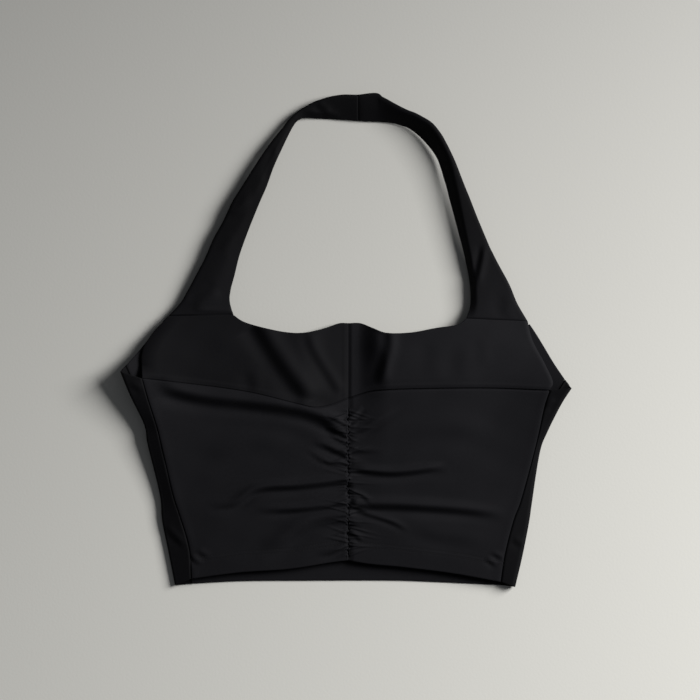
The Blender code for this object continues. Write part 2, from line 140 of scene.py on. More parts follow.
# Height of the front's outer face. Level 0 is the neckline and strap seam, 1 the seam under the
# bust, and 2 the hem. Columns: level, then the height at each station from the side to the centre.
STATIONS_LEFT = (0.0, 0.22, 0.50, 0.76, 0.90, 1.0)
STATIONS_RIGHT = (0.0, 0.22, 0.50, 0.79, 0.95, 1.0)
HEIGHT_LEFT = (
    (0.00, 0.0080, 0.0100, 0.0105, 0.0110, 0.0070, 0.0050),
    (0.40, 0.0084, 0.0106, 0.0112, 0.0120, 0.0080, 0.0055),
    (0.80, 0.0088, 0.0108, 0.0116, 0.0128, 0.0100, 0.0070),
    (1.00, 0.0092, 0.0105, 0.0118, 0.0126, 0.0112, 0.0085),
    (1.12, 0.0092, 0.0098, 0.0104, 0.0110, 0.0112, 0.0100),
    (1.30, 0.0090, 0.0094, 0.0099, 0.0104, 0.0104, 0.0100),
    (1.60, 0.0088, 0.0094, 0.0099, 0.0104, 0.0101, 0.0096),
    (1.85, 0.0080, 0.0086, 0.0089, 0.0090, 0.0088, 0.0086),
    (2.00, 0.0072, 0.0078, 0.0080, 0.0080, 0.0080, 0.0078),
)
HEIGHT_RIGHT = (
    (0.00, 0.0072, 0.0112, 0.0150, 0.0150, 0.0050, 0.0050),
    (0.40, 0.0074, 0.0125, 0.0160, 0.0170, 0.0056, 0.0055),
    (0.80, 0.0082, 0.0120, 0.0160, 0.0172, 0.0070, 0.0070),
    (1.00, 0.0090, 0.0114, 0.0150, 0.0158, 0.0090, 0.0085),
    (1.12, 0.0092, 0.0108, 0.0140, 0.0148, 0.0106, 0.0100),
    (1.30, 0.0092, 0.0104, 0.0128, 0.0132, 0.0106, 0.0100),
    (1.60, 0.0088, 0.0096, 0.0108, 0.0112, 0.0099, 0.0096),
    (1.85, 0.0080, 0.0085, 0.0089, 0.0090, 0.0087, 0.0086),
    (2.00, 0.0072, 0.0077, 0.0080, 0.0080, 0.0079, 0.0078),
)

# Folds of the front. Each row: the steep wall's line, half its width, how far its crest stands up
# (on the left of the line's way, or on its right where negative), and over which shares of its
# length it rises from nothing and falls away. Where a share is 0 the fold runs out over that end.
FRONT_FOLDS = (
    # Under the left cup and across to the gathers.
    (((-0.1760, -0.0445), (-0.1620, -0.0490), (-0.1363, -0.0550), (-0.0896, -0.0608),
      (-0.0523, -0.0655), (-0.0300, -0.0712), (-0.0149, -0.0785), (0.0010, -0.0885)),
     0.0046, 0.0041, 0.20, 0.16),
    (((-0.0190, -0.0700), (-0.0080, -0.0752), (0.0010, -0.0800)), 0.0014, 0.0011, 0.5, 0.0),
    (((-0.0230, -0.0800), (-0.0100, -0.0850), (0.0010, -0.0905)), 0.0018, 0.0012, 0.5, 0.0),
    (((-0.0160, -0.0895), (-0.0060, -0.0935), (0.0010, -0.0965)), 0.0013, 0.0010, 0.5, 0.0),
    (((-0.1500, -0.0640), (-0.0950, -0.0720), (-0.0500, -0.0790), (-0.0200, -0.0890)),
     0.0060, 0.0010, 0.4, 0.4),
    (((-0.0317, -0.0947), (-0.0149, -0.1013), (0.0010, -0.1085)), 0.0024, 0.0019, 0.6, 0.0),
    (((-0.0380, -0.1010), (-0.0196, -0.1134), (0.0019, -0.1165)), 0.0018, 0.0010, 0.6, 0.0),
    (((-0.1300, -0.1556), (-0.1045, -0.1535), (-0.0831, -0.1405), (-0.0429, -0.1367),
      (0.0010, -0.1318)), 0.0028, 0.0030, 0.55, 0.0),
    (((-0.0840, -0.1603), (-0.0429, -0.1582), (0.0010, -0.1528)), 0.0026, 0.0026, 0.5, 0.0),
    (((-0.0800, -0.1965), (-0.0616, -0.1909), (-0.0429, -0.1787), (-0.0243, -0.1694),
      (0.0010, -0.1670)), 0.0052, 0.0025, 0.4, 0.0),
    (((-0.0270, -0.2010), (-0.0103, -0.1974), (0.0010, -0.1905)), 0.0022, 0.0014, 0.5, 0.0),
    # Out of the gathers to the right.
    (((0.0030, -0.0755), (0.0177, -0.0630)), 0.0018, 0.0015, 0.0, 0.6),
    (((0.0030, -0.0815), (0.0131, -0.0779)), 0.0013, 0.0009, 0.0, 0.6),
    (((0.0030, -0.0870), (0.0190, -0.0830), (0.0330, -0.0745), (0.0540, -0.0630)),
     0.0022, 0.0017, 0.0, 0.6),
    (((0.0030, -0.1041), (0.0340, -0.1031)), 0.0020, 0.0011, 0.0, 0.7),
    (((0.0040, -0.1210), (0.0429, -0.1246), (0.0784, -0.1209), (0.0930, -0.1180)),
     0.0026, 0.0028, 0.12, 0.5),
    (((0.0020, -0.1408), (0.0149, -0.1451), (0.0240, -0.1530)), 0.0016, 0.0009, 0.0, 0.5),
    (((0.0030, -0.1542), (0.0131, -0.1556), (0.0243, -0.1550), (0.0504, -0.1554),
      (0.1157, -0.1601), (0.1480, -0.1645)), 0.0034, 0.0034, 0.14, 0.35),
    (((0.0030, -0.1622), (0.0131, -0.1601)), 0.0011, 0.0008, 0.0, 0.7),
    (((0.0090, -0.1600), (0.0271, -0.1647), (0.0457, -0.1713), (0.0580, -0.1790)),
     0.0018, 0.0013, 0.2, 0.5),
    (((0.0030, -0.1713), (0.0149, -0.1722)), 0.0013, 0.0009, 0.0, 0.7),
    (((0.0030, -0.1790), (0.0160, -0.1868)), 0.0016, 0.0012, 0.0, 0.6),
    # Light slacks over the lower front.
    (((0.0560, -0.1760), (0.0900, -0.1850), (0.1300, -0.1880)), 0.0050, 0.0008, 0.4, 0.4),
    (((-0.1350, -0.1130), (-0.0900, -0.1010), (-0.0500, -0.0980)), 0.0070, 0.0009, 0.4, 0.4),
    (((0.0500, -0.0900), (0.0900, -0.0860), (0.1400, -0.0900)), 0.0070, 0.0009, 0.4, 0.4),
    # Bunching at the two ends of the hem.
    (((-0.1455, -0.2005), (-0.1362, -0.2098)), 0.0018, 0.0010, 0.3, 0.3),
    (((-0.1400, -0.1960), (-0.1270, -0.2035)), 0.0020, 0.0008, 0.3, 0.5),
    (((0.1297, -0.2033), (0.1400, -0.2107)), 0.0018, 0.0010, 0.4, 0.3),
    (((0.1352, -0.1980), (0.1455, -0.2040)), 0.0018, 0.0009, 0.4, 0.3),
    # The cups' soft breaks beside the centre seam, and slight ones over the right cup.
    (((-0.0860, 0.0160), (-0.0821, 0.0098), (-0.0709, -0.0089), (-0.0545, -0.0322),
      (-0.0410, -0.0500), (-0.0355, -0.0590)), 0.0062, 0.0031, 0.12, 0.25),
    (((-0.0350, 0.0090), (-0.0336, -0.0042), (-0.0149, -0.0369), (-0.0056, -0.0509)),
     0.0034, 0.0010, 0.3, 0.2),
    (((0.0385, 0.0110), (0.0385, -0.0042), (0.0350, -0.0201), (0.0275, -0.0420)),
     0.0036, 0.0019, 0.15, 0.22),
    (((-0.0900, -0.0260), (-0.0860, -0.0500)), 0.0045, 0.0007, 0.4, 0.3),
    (((0.0800, 0.0060), (0.0784, -0.0180), (0.0800, -0.0430)), 0.0060, 0.0004, 0.4, 0.4),
    (((0.1110, 0.0000), (0.1040, -0.0200), (0.1080, -0.0430)), 0.0055, 0.0004, 0.4, 0.4),
    (((0.1260, 0.0050), (0.1250, -0.0250)), 0.0045, 0.0003, 0.4, 0.4),
)

# The underarm points stand clear of the surface. Columns: the point (x, y), how high its cloth is
# lifted, and how far the lift reaches inwards, up and down.
LIFTS = (
    (-0.2100, -0.0286, 0.0180, 0.092, 0.100, 0.200),
    (0.2100, -0.0443, 0.0120, 0.090, 0.090, 0.150),
)

# Straps, a row for each section from the cup seam up to the back of the neck. Columns: inner edge
# (x, y, z), where the crown lies across the strap, its height, and the outer edge (x, y, z).
STRAP_LEFT = (
    (-0.1048, 0.0241, 0.0102, 0.50, 0.0105, -0.1656, 0.0231, 0.0081),
    (-0.1078, 0.0340, 0.0096, 0.50, 0.0108, -0.1560, 0.0335, 0.0080),
    (-0.1073, 0.0471, 0.0092, 0.45, 0.0110, -0.1475, 0.0470, 0.0086),
    (-0.1036, 0.0611, 0.0092, 0.42, 0.0112, -0.1402, 0.0605, 0.0093),
    (-0.0989, 0.0798, 0.0092, 0.40, 0.0113, -0.1312, 0.0776, 0.0099),
    (-0.0933, 0.0957, 0.0092, 0.40, 0.0114, -0.1238, 0.0946, 0.0103),
    (-0.0868, 0.1125, 0.0092, 0.40, 0.0115, -0.1143, 0.1118, 0.0106),
    (-0.0803, 0.1283, 0.0091, 0.40, 0.0116, -0.1066, 0.1285, 0.0108),
    (-0.0737, 0.1433, 0.0089, 0.40, 0.0116, -0.0972, 0.1434, 0.0110),
    (-0.0681, 0.1591, 0.0085, 0.40, 0.0114, -0.0876, 0.1588, 0.0110),
    (-0.0588, 0.1797, 0.0074, 0.42, 0.0104, -0.0728, 0.1810, 0.0104),
    (-0.0495, 0.1983, 0.0056, 0.45, 0.0086, -0.0582, 0.1990, 0.0094),
    (-0.0440, 0.2050, 0.0044, 0.48, 0.0074, -0.0512, 0.2070, 0.0088),
    (-0.0370, 0.2072, 0.0036, 0.50, 0.0064, -0.0412, 0.2152, 0.0084),
    (-0.0243, 0.2067, 0.0028, 0.50, 0.0062, -0.0270, 0.2230, 0.0088),
    (-0.0056, 0.2058, 0.0026, 0.50, 0.0068, -0.0060, 0.2282, 0.0102),
    (NAPE_X, 0.2046, 0.0028, 0.50, 0.0076, NAPE_X, 0.2282, 0.0112),
)
STRAP_RIGHT = (
    (0.1118, 0.0208, 0.0116, 0.14, 0.0124, 0.1689, 0.0186, 0.0078),
    (0.1153, 0.0331, 0.0078, 0.16, 0.0124, 0.1603, 0.0334, 0.0096),
    (0.1148, 0.0518, 0.0062, 0.19, 0.0124, 0.1524, 0.0518, 0.0106),
    (0.1111, 0.0733, 0.0056, 0.24, 0.0127, 0.1415, 0.0720, 0.0113),
    (0.1073, 0.0891, 0.0052, 0.30, 0.0130, 0.1334, 0.0885, 0.0118),
    (0.1036, 0.1031, 0.0049, 0.37, 0.0134, 0.1270, 0.1035, 0.0123),
    (0.0999, 0.1171, 0.0046, 0.45, 0.0138, 0.1212, 0.1175, 0.0128),
    (0.0961, 0.1311, 0.0043, 0.54, 0.0143, 0.1158, 0.1315, 0.0134),
    (0.0933, 0.1423, 0.0040, 0.62, 0.0147, 0.1113, 0.1424, 0.0140),
    (0.0905, 0.1517, 0.0037, 0.69, 0.0151, 0.1075, 0.1520, 0.0146),
    (0.0877, 0.1610, 0.0034, 0.76, 0.0156, 0.1036, 0.1622, 0.0152),
    (0.0840, 0.1703, 0.0031, 0.82, 0.0161, 0.0992, 0.1722, 0.0159),
    (0.0784, 0.1787, 0.0028, 0.86, 0.0166, 0.0934, 0.1836, 0.0166),
    (0.0728, 0.1853, 0.0025, 0.88, 0.0170, 0.0880, 0.1928, 0.0171),
    (0.0672, 0.1909, 0.0023, 0.89, 0.0170, 0.0799, 0.2024, 0.0172),
    (0.0597, 0.1965, 0.0022, 0.88, 0.0163, 0.0687, 0.2092, 0.0166),
    (0.0504, 0.2002, 0.0022, 0.82, 0.0142, 0.0567, 0.2140, 0.0152),
    (0.0411, 0.2025, 0.0022, 0.66, 0.0112, 0.0448, 0.2198, 0.0140),
    (0.0317, 0.2035, 0.0022, 0.58, 0.0092, 0.0335, 0.2262, 0.0126),
    (0.0220, 0.2040, 0.0024, 0.50, 0.0082, 0.0243, 0.2300, 0.0116),
    (NAPE_X, 0.2046, 0.0028, 0.50, 0.0076, NAPE_X, 0.2282, 0.0112),
)

# Folds of the straps, of the side panels and of the back, in the columns of FRONT_FOLDS.
STRAP_FOLDS = (
    (((-0.1148, 0.1143), (-0.0989, 0.1199), (-0.0915, 0.1265), (-0.0868, 0.1405)),
     0.0034, 0.0010, 0.3, 0.4),
    (((-0.1140, 0.0800), (-0.1000, 0.0980)), 0.0030, 0.0005, 0.4, 0.4),
    (((-0.0747, 0.1480), (-0.0690, 0.1640), (-0.0640, 0.1790)), 0.0030, -0.0012, 0.3, 0.3),
    (((-0.1450, 0.0330), (-0.1190, 0.0500)), 0.0040, -0.0009, 0.3, 0.3),
    (((-0.0401, 0.2105), (-0.0200, 0.2095), (-0.0056, 0.2085)), 0.0024, 0.0014, 0.3, 0.4),
    (((-0.0290, 0.2198), (-0.0150, 0.2110)), 0.0026, 0.0009, 0.4, 0.4),
    (((0.1278, 0.0910), (0.1241, 0.0705), (0.1190, 0.0500)), 0.0024, 0.0018, 0.3, 0.3),
    (((-0.1440, 0.0268), (-0.1060, 0.0266)), 0.0014, 0.0006, 0.4, 0.1),
    (((0.1500, 0.0443), (0.1440, 0.0210)), 0.0048, 0.0009, 0.4, 0.4),
)
SIDE_FOLDS = (
    (((-0.1717, -0.1722), (-0.1503, -0.1937)), 0.0024, 0.0012, 0.4, 0.4),
    (((-0.1531, -0.1629), (-0.1381, -0.1708)), 0.0020, 0.0008, 0.4, 0.4),
    (((-0.2020, -0.0420), (-0.1900, -0.0470)), 0.0024, 0.0010, 0.4, 0.4),
    (((0.1540, -0.1850), (0.1660, -0.1930)), 0.0024, 0.0009, 0.4, 0.4),
    (((0.1860, -0.0640), (0.1960, -0.0560)), 0.0022, 0.0009, 0.4, 0.4),
)
BACK_FOLDS = (
    (((-0.1450, -0.0650), (-0.0500, -0.0790), (0.0400, -0.0740), (0.1300, -0.0620)),
     0.0070, 0.0012, 0.4, 0.4),
    (((-0.1250, -0.1480), (-0.0300, -0.1400), (0.0500, -0.1450)), 0.0060, 0.0010, 0.4, 0.4),
    (((0.0000, -0.1820), (0.0700, -0.1740), (0.1300, -0.1780)), 0.0055, 0.0009, 0.4, 0.4),
    (((-0.1600, -0.0300), (-0.0800, -0.0380), (-0.0100, -0.0330)), 0.0050, 0.0008, 0.4, 0.4),
)

# What the two halves of the front are drawn from. Where one is tucked at the centre it passes under
# the other there. The lower front dips so many times as far as elsewhere, over so long a run, to
# pass under its cup.
HALVES = {
    "left": {
        "side": SIDE_LEFT, "radius": FOLD_RADIUS_LEFT, "underbust": UNDERBUST_LEFT,
        "hem": FRONT_HEM_LEFT, "armhole": ARMHOLE_LEFT, "strap_seam": STRAP_SEAM_LEFT,
        "neckline": NECKLINE_LEFT, "stations": STATIONS_LEFT, "heights": HEIGHT_LEFT,
        "strap": STRAP_LEFT, "centre": "gap", "underbust_dip": 1.0, "underbust_run": 0.0013,
        # The left cup takes the copy of the knit with painted shade.
        "cup_knit": "left_cup_painted_shade",
    },
    "right": {
        "side": SIDE_RIGHT, "radius": FOLD_RADIUS_RIGHT, "underbust": UNDERBUST_RIGHT,
        "hem": FRONT_HEM_RIGHT, "armhole": ARMHOLE_RIGHT, "strap_seam": STRAP_SEAM_RIGHT,
        "neckline": NECKLINE_RIGHT, "stations": STATIONS_RIGHT, "heights": HEIGHT_RIGHT,
        "strap": STRAP_RIGHT, "centre": "tuck", "underbust_dip": 1.9, "underbust_run": 0.0021,
        "cup_knit": "body",
    },
}

# The gathers: the levels that they lie between, and the least and most of each of their sizes.
GATHER_TOP, GATHER_FOOT = -0.0650, -0.2010
GATHER_REACH, GATHER_TILT, GATHER_WIDTH = (0.0060, 0.0200), (-0.45, 0.45), (0.0009, 0.0015)
GATHER_HEIGHT, GATHER_STEP = (0.0006, 0.0013), (0.0024, 0.0042)
HILL, HILL_REACH = 0.0006, 0.0013  # of the small hills at the stitches of the gathered seam
WANDER, WANDER_REACH = 0.00055, 0.005  # of that seam's line, to one side and the other

# Painted shade on some pieces' copies of the knit: how far each is darkened at its foot, and what a
# metre up adds.
PAINTED_SHADE = {"body": (0.0, 0.0), "left_cup_painted_shade": (0.45, 0.0), "side": (0.80, 0.0), "strap": (0.20, 8.0)}


def hermite(start, end, start_slope, end_slope, t):
    """A cubic from start to end, with its slopes there."""
    rise = t * t * (3 - 2 * t)
    return (1 - rise) * start + rise * end + t * (1 - t) * ((1 - t) * start_slope - t * end_slope)


def through(rows):
    """A smooth curve through the rows, as a list of places."""
    rows = np.array(rows, float)
    held = np.vstack([2 * rows[0] - rows[1], rows, 2 * rows[-1] - rows[-2]])
    spacing = np.linalg.norm(np.diff(held, axis=0), axis=1) ** 0.5
    speed = np.diff(held, axis=0) / spacing[:, None]
    both = held[2:] - held[:-2]
    places = []
    for i in range(len(rows) - 1):
        before, here, after = spacing[i : i + 3]
        step = here * speed[i + 1]
        start = step + here * (speed[i] - both[i] / (before + here))
        end = step + here * (speed[i + 2] - both[i + 1] / (here + after))
        for t in np.linspace(0, 1, STRETCH_STEPS, endpoint=False):
            places.append(hermite(rows[i], rows[i + 1], start, end, t))
    return np.array(places + [rows[-1]])


def edge(*stretches):
    """Stretches of smooth curve joined end to end, read by the fraction of their whole length."""
    line = np.vstack([through(rows) for rows in stretches])
    steps = np.linalg.norm(np.diff(line, axis=0), axis=1)
    length = np.concatenate([[0], np.cumsum(steps)])

    first, last = (line[1] - line[0]) / steps[0], (line[-1] - line[-2]) / steps[-1]

    def at(t):
        held = np.clip(t, 0, 1) * length[-1]
        place = np.stack([np.interp(held, length, column) for column in line.T], axis=-1)
        over = (t * length[-1] - held)[:, None]
        return place + np.where(over < 0, over * first, over * last)

    return at


def eased(knots, values, at):
    """Reads columns of values between knots, smoothly and without passing them."""
    knots, values, at = np.asarray(knots), np.asarray(values), np.asarray(at)
    gap = np.diff(knots)
    slope = np.diff(values, axis=0) / gap[:, None]
    same_way = slope[:-1] * slope[1:] > 0
    both = np.where(same_way, slope[:-1] + slope[1:], 1)
    inner = np.where(same_way, 2 * slope[:-1] * slope[1:] / both, 0)
    tangent = np.vstack([slope[:1], inner, slope[-1:]])
    i = np.clip(np.searchsorted(knots, at) - 1, 0, len(gap) - 1)
    t = np.clip((at - knots[i]) / gap[i], 0, 1)[:, None]
    step = gap[i][:, None]
    return hermite(values[i], values[i + 1], step * tangent[i], step * tangent[i + 1], t)


def folds_at(rows, x, y):
    """What the folds add at each place. Each is a steep wall between a crest and a shallow trough."""
    total = np.zeros_like(x)
    for points, width, height, rise, fall in rows:
        line = through(points)
        low, high = line.min(0) - 4.5 * width, line.max(0) + 4.5 * width
        near = (x > low[0]) & (x < high[0]) & (y > low[1]) & (y < high[1])
        if not near.any():
            continue
        place = np.stack([x[near], y[near]], axis=-1)
        closest = np.linalg.norm(place[:, None] - line, axis=2).argmin(1)
        way = np.gradient(line, axis=0)
        step = np.linalg.norm(way, axis=1)
        way = (way / step[:, None])[closest]
        off = place - line[closest]
        side = way[:, 0] * off[:, 1] - way[:, 1] * off[:, 0]
        ahead = (way * off).sum(1) / step[closest]
        along = (closest + ahead) / (len(line) - 1)
        fade = np.ones_like(along)
        if rise:
            fade = np.minimum(fade, along / rise)
        if fall:
            fade = np.minimum(fade, (1 - along) / fall)
        fade = np.sin(math.pi / 2 * np.clip(fade, 0, 1)) ** 1.3
        over = np.maximum(0, np.maximum(-along, along - 1)) * step.mean() * (len(line) - 1)
        fade *= np.exp(-((over / width) ** 2))
        across = np.sign(height) * side / width
        wall = np.exp(-(((across - 1) / 1.5) ** 2)) - 0.7 * np.exp(-(((across + 1) / 1.5) ** 2))
        total[near] += abs(height) * fade * wall
    return total


def gathers_at(x, y):
    """Fine ridges of the gathered centre seam. They run out to both sides and die away."""
    chance = np.random.default_rng(11)
    away = np.abs(x - CENTRE_X)
    total = np.zeros_like(x)
    for way in (-1, 1):
        out = way * (x - CENTRE_X)
        level = GATHER_TOP
        while level > GATHER_FOOT:
            reach = chance.uniform(*GATHER_REACH)
            tilt = chance.uniform(*GATHER_TILT)
            width = chance.uniform(*GATHER_WIDTH)
            height = chance.uniform(*GATHER_HEIGHT)
            near = (out > -0.0015) & (out < 2.2 * reach)
            across = (y[near] - level - tilt * out[near]) / width
            total[near] += height * np.exp(-(across**2) - (out[near] / reach) ** 2)
            level -= chance.uniform(*GATHER_STEP)
    # At the stitches both sides share the same small hills.
    hills = HILL * (np.sin(y * 1900) + np.sin(y * 1130 + 1)) * gathered(y)
    shared = np.exp(-((away / HILL_REACH) ** 2))
    return total * (1 - shared) + hills * shared


def gathered(y):
    """1 along the gathered stretch of the centre seam, and 0 above and below it."""
    return np.clip((-0.0620 - y) / 0.006, 0, 1) * np.clip((y + 0.2030) / 0.006, 0, 1)


def seam_wander(x, y):
    """How far the gathers pull the centre seam to one side."""
    pull = np.sin(y * 1300) + 0.8 * np.sin(y * 820 + 2) + 0.6 * np.sin(y * 410 + 4)
    return WANDER * pull * gathered(y) * np.exp(-np.abs(x - CENTRE_X) / WANDER_REACH)


def lift(x, y):
    """How far the cloth stands off the surface near the underarm points."""
    total = np.zeros_like(x)
    for point_x, point_y, height, inwards, up, down in LIFTS:
        away = np.hypot((x - point_x) / inwards, (y - point_y) / np.where(y > point_y, up, down))
        total += height * np.maximum(0, 1 - away) ** 2
    return total


def ripple(x, y, scale, height):
    """Slight unevenness of limp cloth, the same each time."""
    chance = np.random.default_rng(5)
    total = np.zeros_like(x)
    for _ in range(9):
        turn = chance.uniform(0, 2 * math.pi)
        wave = scale * chance.uniform(0.6, 1.7)
        phase = chance.uniform(0, 2 * math.pi)
        total += np.sin(2 * math.pi * (x * math.cos(turn) + y * math.sin(turn)) / wave + phase)
    return height * total / 3


def stops(length, step, fine=0.0, fine_step=0.0005):
    """Fractions across a piece: close together at its rolled edges, and beside a gathered end."""
    marks = [ROUND_STOPS, length - ROUND_STOPS, np.arange(0.0022, length - 0.0018, step)]
    if fine:
        marks.append(np.arange(length - fine, length - 0.0018, fine_step))
    marks = np.unique(np.concatenate(marks))
    keep = np.concatenate([[True], np.diff(marks) > 0.00005])
    marks = marks[keep]
    marks[-1] = length
    return marks / length


def distances(grid):
    """Distances of every place of a grid from its first column and from its first row."""
    across = np.cumsum(np.linalg.norm(np.diff(grid, axis=1), axis=2), axis=1)
    up = np.cumsum(np.linalg.norm(np.diff(grid, axis=0), axis=2), axis=0)
    return np.pad(across, ((0, 0), (1, 0))), np.pad(up, ((1, 0), (0, 0)))


def reaches(grid):
    """Distances in plan from a grid's first column, last column, first row and last row."""
    across, up = distances(grid[..., :2])
    return across, across[:, -1:] - across, up, up[-1:] - up


def unit(vectors):
    return vectors / np.linalg.norm(vectors, axis=-1, keepdims=True)


def rolled(distance, thickness):
    """How far each face of the wall draws in where its edge is rounded over."""
    near = np.clip(1 - distance / EDGE_RADIUS, 0, 1)
    return (thickness / 2 - EDGE_HALF_WALL) * (1 - np.sqrt(1 - near**2))


def patch(side, centre, bottom, top, u, v):
    """Places on the panel between four edges that meet at its corners, a row for each v."""
    u, v = u[None, :, None], v[:, None, None]
    low = (1 - u) * bottom(np.zeros(1)) + u * bottom(np.ones(1))
    high = (1 - u) * top(np.zeros(1)) + u * top(np.ones(1))
    sides = (1 - u) * side(v[:, 0, 0])[:, None] + u * centre(v[:, 0, 0])[:, None]
    return sides + (1 - v) * (bottom(u[0, :, 0]) - low) + v * (top(u[0, :, 0]) - high)


def front_height(half, across, level):
    """Height of the front's outer face, a row for each level and a column for each fraction."""
    table = np.array(half["heights"])
    return eased(half["stations"], eased(table[:, 0], table[:, 1:], level).T, across).T


def place_piece(name, mesh):
    piece = bpy.data.objects.new(name, mesh)
    bpy.context.scene.collection.objects.link(piece)
    return piece


def shell(name, outer, inner, cut, material):
    """One closed body between two grids of places, with its cut's flat places as its UV map."""
    rows, columns, _ = outer.shape
    index = np.arange(rows * columns).reshape(rows, columns)
    quads = np.stack([index[:-1, :-1], index[:-1, 1:], index[1:, 1:], index[1:, :-1]], axis=-1)
    quads = quads.reshape(-1, 4)
    rim = np.concatenate([index[0], index[1:, -1], index[-1, -2::-1], index[-2:0:-1, 0]])
    ahead = np.roll(rim, -1)
    below = rows * columns
    walls = np.stack([ahead, rim, rim + below, ahead + below], axis=-1)
    faces = np.vstack([quads, quads[:, ::-1] + below, walls])
    places = np.vstack([outer.reshape(-1, 3), inner.reshape(-1, 3)])
    a, b, c, d = (places[faces[:, i]] for i in range(4))
    volume = (np.cross(a, b) * c).sum() + (np.cross(a, c) * d).sum()
    if volume < 0:
        faces = faces[:, ::-1]
    mesh = bpy.data.meshes.new(name)
    mesh.from_pydata(places, [], faces)
    mesh.shade_smooth()
    flat = np.vstack([cut.reshape(-1, 2)] * 2)[faces.ravel()]
    mesh.uv_layers.new(name="cut").data.foreach_set("uv", flat.astype(np.float32).ravel())
    mesh.materials.append(material)
    return place_piece(name, mesh)


def wall(name, grid, height, thickness, material, pressed=1.0):
    """Finishes a panel: its edges are rolled over, and its inner face follows its outer one. The
    roll at its last column is narrower where the seam there is pressed."""
    left, right, low, high = reaches(grid)
    near = np.minimum(np.minimum(left, right * pressed), np.minimum(low, high))
    draw = rolled(near, thickness)
    outer = np.dstack([grid, height - draw])
    inner = np.dstack([grid, height - thickness + draw])
    return shell(name, outer, inner, np.stack([left, low], axis=-1), material)


def dipped(distance, run=0.0013):
    """How far a piece dips, over the length run, to pass in under its neighbour's edge."""
    t = np.clip((run + TUCK_FLAT - distance) / run, 0, 1)
    return TUCK_DROP * t * t * (3 - 2 * t)


def armhole_turn(side, low, high):
    """How far the left cup turns down to the back at its armhole, at distances from its edges."""
    turn = ARMHOLE_DROP * np.clip(1 - side / 0.016, 0, 1) ** 2
    return turn * np.clip(low / 0.012, 0, 1) * (0.35 + 0.65 * np.clip(high / 0.020, 0, 1))


def bell(distance, at, width):
    """1 at a distance from an edge, dying away on both sides of it."""
    return np.exp(-(((distance - at) / width) ** 2))


def fuller(distance, height):
    """The fuller strip beside a seam, where its allowance lies behind the cloth."""
    return height * bell(distance, 0.0032, 0.0018)


def spread(fractions, size, first="gap", last="gap"):
    """Fits a panel's fractions to its seams: half a gap short of a line, tucked in past it, or on it."""
    reach = {"gap": SEAM_GAP / 2 / size, "tuck": -TUCK / size, "free": 0.0}
    return reach[first] + fractions * (1 - reach[first] - reach[last])


def side_face(half, down, inset):
    """A face of a side panel, so far in from its outer one: from its seam with the front, round the
    fold at the garment's edge, to its seam with the back."""
    rows = edge(half["side"])(down).reshape(-1, 3, 2)
    seam, fold, back = rows[:, 0], rows[:, 1], rows[:, 2]
    high = front_height(half, np.zeros(1), 1 + down)[:, 0]
    above, below, radius = unit(fold - seam), unit(fold - back), half["radius"]
    flat_steps = stops(length=0.0124, step=0.0012)
    columns = []

    turned = fold - radius * above
    for t in flat_steps[:-5]:
        spot = (1 - t) * (seam - above * TUCK) + t * turned
        level = (1 - t) * high + t * 2 * radius - inset
        level = level + lift(*seam.T) * (1 - t) + t * lift(*turned.T)
        columns.append(np.column_stack([spot, level]))
    for turn in np.linspace(0, math.pi, 19):
        out = unit(above + turn / math.pi * (below - above))
        spot = fold + ((radius - inset) * math.sin(turn) - radius) * out
        level = radius + (radius - inset) * math.cos(turn) + lift(*(fold - radius * out).T)
        columns.append(np.column_stack([spot, level]))
    turned = fold - radius * below
    for t in flat_steps[5:]:
        spot = (1 - t) * turned + t * (back - below * TUCK)
        level = inset + (1 - t) * lift(*turned.T) + t * lift(*back.T)
        columns.append(np.column_stack([spot, level]))
    return np.stack(columns, axis=1)


def node(tree, kind, links=None, **settings):
    """Adds a node, sets its own settings, and links or sets its inputs by name or number."""
    made = tree.nodes.new(kind)
    for name, value in settings.items():
        setattr(made, name, value)
    for socket, value in (links or {}).items():
        if isinstance(value, bpy.types.NodeSocket):
            tree.links.new(value, made.inputs[socket])
        else:
            made.inputs[socket].default_value = value
    return made


def maths(tree, operation, *values):
    return node(tree, "ShaderNodeMath", dict(enumerate(values)), operation=operation).outputs[0]


def noise(tree, place, scale, detail):
    links = {"Vector": place, "Scale": scale, "Detail": detail}
    return node(tree, "ShaderNodeTexNoise", links).outputs[0]


def blend(tree, share, first, second):
    """A colour between two others, which are sockets or linear colours."""
    links = {0: share, 6: first, 7: second}
    return node(tree, "ShaderNodeMix", links, data_type="RGBA", clamp_factor=True).outputs[2]


def bump(tree, height, strength, distance, **more):
    links = {"Height": height, "Strength": strength, "Distance": distance, **more}
    return node(tree, "ShaderNodeBump", links).outputs[0]


def surface(tree, colour, roughness, specular, normal):
    links = {
        "Base Color": colour, "Roughness": roughness, "Specular IOR Level": specular,
        "Normal": normal,
    }
    shader = node(tree, "ShaderNodeBsdfPrincipled", links)
    node(tree, "ShaderNodeOutputMaterial", {"Surface": shader.outputs[0]})


def linear(colour):
    """An sRGB hex value as linear red, green, blue and alpha."""
    parts = [int(colour[i : i + 2], 16) / 255 for i in (1, 3, 5)]
    parts = [p / 12.92 if p <= 0.04045 else ((p + 0.055) / 1.055) ** 2.4 for p in parts]
    return (*parts, 1.0)


def new_material(name):
    """An empty material, its node tree, and the places on the object for its textures."""
    material = bpy.data.materials.new(name)
    material.use_nodes = True
    tree = material.node_tree
    tree.nodes.clear()
    return material, tree, node(tree, "ShaderNodeTexCoord").outputs["Object"]


